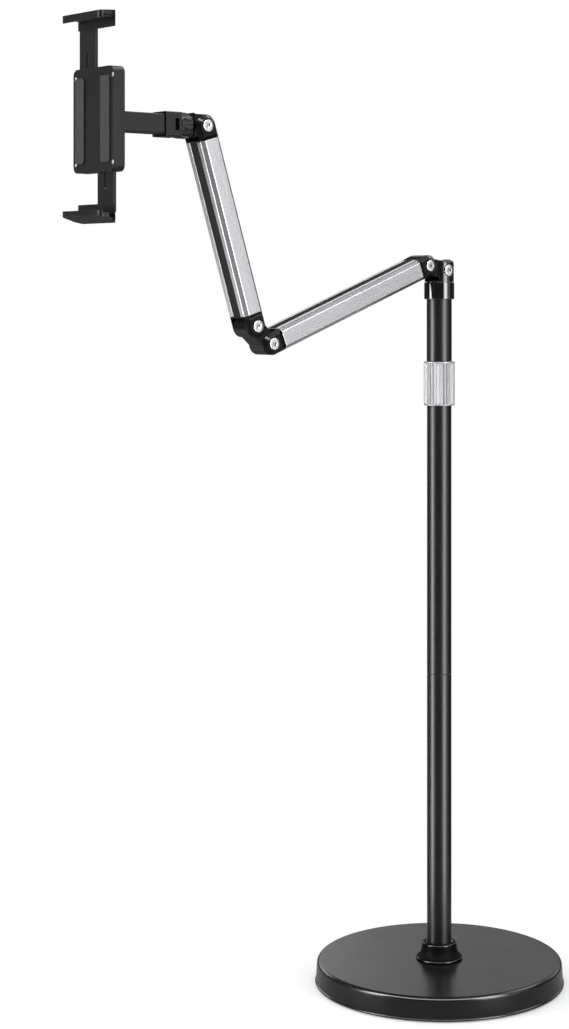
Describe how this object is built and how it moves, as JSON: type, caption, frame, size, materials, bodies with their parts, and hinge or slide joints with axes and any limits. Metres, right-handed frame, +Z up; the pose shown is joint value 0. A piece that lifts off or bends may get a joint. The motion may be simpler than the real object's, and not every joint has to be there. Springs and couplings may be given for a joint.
{
  "type": "adjustable tablet floor stand",
  "caption": "Floor stand with a round weighted base, a telescoping pole, a two-section jointed arm and a sliding clamp that holds a tablet on a ball joint.",
  "frame": {"origin": "middle of the base's underside, on the floor, on the pole's axis", "axes": "+Z up along the pole; -Y is the side that the arm reaches to and the tablet faces; the arm hinges turn about X, with the bolt heads on +X"},
  "size_m": [0.2484, 0.5476, 0.9342],
  "materials": {
    "base_paint": "satin",
    "pole_paint": "satin",
    "gloss_black": "gloss",
    "knuckle_black": "satin",
    "holder_black": "satin",
    "arm_aluminium": "satin",
    "channel_black": "matte",
    "bright_steel": "polished",
    "plain_steel": "satin",
    "iron_weight": "rough",
    "black_rubber": "matte",
    "natural_nylon": "matte"
  },
  "bodies": {
    "pole_and_base": {"base_rubber_mat": "black_rubber", "base_counterweight": "iron_weight", "base_cover": "base_paint", "base_fixing_bolt": "plain_steel", "base_fixing_washer": "plain_steel", "pole_boot": "gloss_black", "pole_foot_plug": "plain_steel", "lower_pole_tube": "pole_paint", "pole_joiner": "plain_steel", "middle_pole_tube": "pole_paint", "clamp_thread_bush": "plain_steel", "clamp_collet": "natural_nylon"},
    "lock_collar": {"height_lock_collar": "arm_aluminium"},
    "sliding_column": {"slide_foot_bush": "natural_nylon", "inner_slide_tube": "pole_paint", "upper_sleeve_tube": "pole_paint", "tube_top_plug": "plain_steel", "swivel_cap": "gloss_black", "swivel_washer": "natural_nylon", "swivel_bolt": "plain_steel"},
    "swivel_head": {"swivel_fork": "knuckle_black", "shoulder_pivot_bolt": "bright_steel", "shoulder_pivot_nut": "bright_steel", "shoulder_friction_washers": "natural_nylon"},
    "shoulder_link": {"shoulder_link": "knuckle_black"},
    "lower_arm": {"lower_arm_profile": "arm_aluminium", "lower_arm_strips": "channel_black", "lower_arm_rear_fork": "knuckle_black", "lower_arm_front_fork": "knuckle_black", "lower_arm_pivot_bolts": "bright_steel", "lower_arm_pivot_nuts": "bright_steel", "lower_arm_friction_washers": "natural_nylon"},
    "elbow_link": {"elbow_link": "knuckle_black"},
    "upper_arm": {"upper_arm_profile": "arm_aluminium", "upper_arm_strips": "channel_black", "upper_arm_rear_fork": "knuckle_black", "upper_arm_front_fork": "knuckle_black", "upper_arm_pivot_bolts": "bright_steel", "upper_arm_pivot_nuts": "bright_steel", "upper_arm_friction_washers": "natural_nylon"},
    "head_knuckle": {"head_knuckle": "knuckle_black"},
    "ball_liner": {"ball_liner": "natural_nylon"},
    "ball_lock_nut": {"ball_lock_nut": "holder_black"},
    "tablet_holder": {"holder_neck": "holder_black", "neck_screws": "plain_steel", "holder_back_plate": "holder_black", "holder_front_cover": "holder_black", "holder_cover_screws": "plain_steel", "holder_rest_pads": "black_rubber", "jaw_brake_pads": "natural_nylon"},
    "upper_jaw": {"upper_jaw": "holder_black", "upper_jaw_pad": "black_rubber"},
    "lower_jaw": {"lower_jaw": "holder_black", "lower_jaw_pad": "black_rubber"}
  },
  "joints": [
    {"name": "height_lock_twist", "type": "hinge", "parent": "pole_and_base", "child": "lock_collar", "pos_m": [0, 0, 0.5977], "axis": [0, 0, 1], "range_deg": [0, 120]},
    {"name": "height_slide", "type": "slide", "parent": "pole_and_base", "child": "sliding_column", "axis": [0, 0, 1], "range_m": [0, 0.18]},
    {"name": "pole_swivel", "type": "hinge", "parent": "sliding_column", "child": "swivel_head", "pos_m": [0, 0, 0.6987], "axis": [0, 0, 1], "range_deg": [-180, 180]},
    {"name": "shoulder_lift", "type": "hinge", "parent": "swivel_head", "child": "shoulder_link", "pos_m": [0, 0, 0.7104], "axis": [-1, 0, 0], "range_deg": [-10.5, 169.5]},
    {"name": "lower_arm_bend", "type": "hinge", "parent": "shoulder_link", "child": "lower_arm", "pos_m": [0, -0.02458, 0.71496], "axis": [1, 0, 0], "range_deg": [-121.3, 48.7]},
    {"name": "elbow_bend", "type": "hinge", "parent": "lower_arm", "child": "elbow_link", "pos_m": [0, -0.21977, 0.64081], "axis": [-1, 0, 0], "range_deg": [-151.9, 28.1]},
    {"name": "upper_arm_bend", "type": "hinge", "parent": "elbow_link", "child": "upper_arm", "pos_m": [0, -0.23861, 0.65724], "axis": [1, 0, 0], "range_deg": [-58.5, 121.5]},
    {"name": "head_bend", "type": "hinge", "parent": "upper_arm", "child": "head_knuckle", "pos_m": [0, -0.29585, 0.83989], "axis": [-1, 0, 0], "range_deg": [-17.4, 162.6]},
    {"name": "ball_turn", "type": "hinge", "parent": "head_knuckle", "child": "ball_liner", "pos_m": [0, -0.31555, 0.83989], "axis": [0, 0, 1], "range_deg": [-20, 20]},
    {"name": "ball_tilt", "type": "hinge", "parent": "ball_liner", "child": "ball_lock_nut", "pos_m": [0, -0.31555, 0.83989], "axis": [1, 0, 0], "range_deg": [-20, 20]},
    {"name": "ball_roll", "type": "hinge", "parent": "ball_lock_nut", "child": "tablet_holder", "pos_m": [0, -0.31555, 0.83989], "axis": [0, -1, 0], "range_deg": [-180, 180]},
    {"name": "upper_jaw_slide", "type": "slide", "parent": "tablet_holder", "child": "upper_jaw", "axis": [0, 0, 1], "range_m": [-0.025, 0.04]},
    {"name": "lower_jaw_slide", "type": "slide", "parent": "tablet_holder", "child": "lower_jaw", "axis": [0, 0, -1], "range_m": [-0.025, 0.04]}
  ]
}
